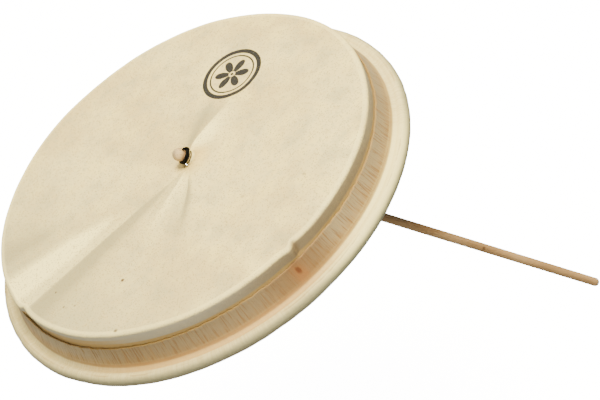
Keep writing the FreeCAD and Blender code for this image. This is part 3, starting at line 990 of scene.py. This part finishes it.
def steel_finish():
    """Drawn steel rod, faintly ringed and dulled."""
    r = Recipe("drawn_steel")
    place = r.add("ShaderNodeTexCoord", output="Object")
    lines = r.noise(r.stretch(place, (40.0, 40.0, 3000.0)), 1.0, 3.0, 0.6)
    dull = r.noise(place, 60.0, 4.0, 0.6)
    colour = r.mix(dull.between(0.4, 0.7), tone(150, 150, 152), tone(178, 178, 180))
    colour = r.mix(lines.between(0.5, 0.7) * 0.3, colour, tone(120, 118, 116))
    bumps = r.bump(lines, 0.4, 0.00008)
    rough = 0.32 + 0.2 * dull
    return r.finish(None, Base_Color=colour, Roughness=rough, Normal=bumps, Metallic=1.0)


# --------------------------------------------------------------------------------------------------
# Making the pieces
# --------------------------------------------------------------------------------------------------
skin, hide_run = hide_skin()
skin.data.materials.append(hide_finish(hide_run))
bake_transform(skin)
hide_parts("skin_rim", "skin_face", "skin_cone")
blank_r = (CROWN_R + hide_run) * MM  # the round hide that the head was cut from
math.pi * blank_r ** 2

gathered = gathered_finish()
gather = hide_gather()
gather.data.materials.append(gathered)
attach(gather, "neck")
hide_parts("skin_neck")

pouch = hide_pouch()
pouch.data.materials.append(gathered)
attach(pouch, "stick")
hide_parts("skin_pouch")

tie = black_tie()
tie.data.materials.append(cord_finish())
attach(tie, "stick")
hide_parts("tie_cord")

rod = stick_rod()
rod.data.materials.append(bamboo_finish())
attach(rod, "stick")
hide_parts("bamboo_stick")

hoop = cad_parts["flesh_hoop"]
hoop.data.materials.clear()
hoop.data.materials.append(steel_finish())


# --------------------------------------------------------------------------------------------------
# Studio, in metres
# --------------------------------------------------------------------------------------------------
FLOOR_Z = -0.30
FLOOR_GLOW = 14.0
# radius and height of the floor, which sweeps up into a dome
FLOOR_RINGS = (
    (0.0, FLOOR_Z), (7.5, FLOOR_Z), (8.6, FLOOR_Z + 0.4), (9.0, FLOOR_Z + 1.4), (9.0, 6.0), (0.0, 9.0),
)
FLOOR_SIDES = 64
AIR = 0.34
AIR_COLOUR = (1.0, 0.96, 0.86, 1.0)
WARM = (1.0, 0.89, 0.60)
PLAIN = (1.0, 0.96, 0.88)
# name, direction, distance, size, power and colour
LAMPS = (
    ("key_light", (0.30, -0.04, 0.95), 2.2, 1.1, 170.0, WARM),
    ("top_light", (-0.1, 0.62, 0.78), 2.4, 1.2, 34.0, WARM),
    ("front_light", (-0.15, -0.93, 0.25), 2.4, 1.4, 34.0, PLAIN),
)
CAMERA_PLACE = (0.38405, -1.38648, 1.04588)
CAMERA_RIGHT = Vector((0.8669, -0.1662, -0.4700))
CAMERA_BACK = Vector((0.1861, -0.7668, 0.6143))


def studio_floor():
    """A pale glowing floor that sweeps up round the part. It is seen, but doesn't light the part."""
    recipe = Recipe("studio_floor")
    recipe.finish(
        None,
        Base_Color=(0.95, 0.95, 0.95, 1.0),
        Roughness=0.9,
        Specular_IOR_Level=0.1,
        Emission_Color=(1.0, 1.0, 1.0, 1.0),
        Emission_Strength=FLOOR_GLOW,
    )
    turn = full_turn(FLOOR_SIDES)
    points = [(radius * math.cos(a), radius * math.sin(a), up) for radius, up in FLOOR_RINGS for a in turn]
    mesh = bpy.data.meshes.new("studio_floor")
    mesh.from_pydata(points, [], grid_faces(len(FLOOR_RINGS), FLOOR_SIDES))
    mesh.materials.append(recipe.material)
    floor = bpy.data.objects.new("studio_floor", mesh)
    floor.visible_diffuse = False
    floor.visible_glossy = False
    floor.visible_transmission = False
    floor.visible_shadow = False
    bpy.context.scene.collection.objects.link(floor)


def studio_light():
    """Soft lamps above and in front, and a little light from all round."""
    world = bpy.data.worlds.new("studio_air")
    world.use_nodes = True
    background = world.node_tree.nodes["Background"]
    background.inputs["Color"].default_value = AIR_COLOUR
    background.inputs["Strength"].default_value = AIR
    bpy.context.scene.world = world
    for name, towards, distance, size, power, colour in LAMPS:
        light = bpy.data.lights.new(name, "AREA")
        light.shape = "DISK"
        light.size = size
        light.energy = power
        light.color = colour
        lamp = bpy.data.objects.new(name, light)
        way = Vector(towards).normalized()
        lamp.location = way * distance
        lamp.rotation_mode = "QUATERNION"
        lamp.rotation_quaternion = way.to_track_quat("Z", "Y")
        bpy.context.scene.collection.objects.link(lamp)


def studio_camera():
    """A long lens that looks down on the face, with the stick out to the right."""
    lens = bpy.data.cameras.new("camera")
    lens.lens = 180.0
    lens.sensor_width = 36.0
    lens.clip_start = 0.05
    lens.clip_end = 60.0
    camera = bpy.data.objects.new("camera", lens)
    back = CAMERA_BACK.normalized()
    up = back.cross(CAMERA_RIGHT).normalized()
    turned = Matrix((up.cross(back), up, back)).transposed().to_4x4()
    camera.matrix_world = Matrix.Translation(CAMERA_PLACE) @ turned
    bpy.context.scene.collection.objects.link(camera)
    bpy.context.scene.camera = camera


studio_floor()
studio_light()
studio_camera()
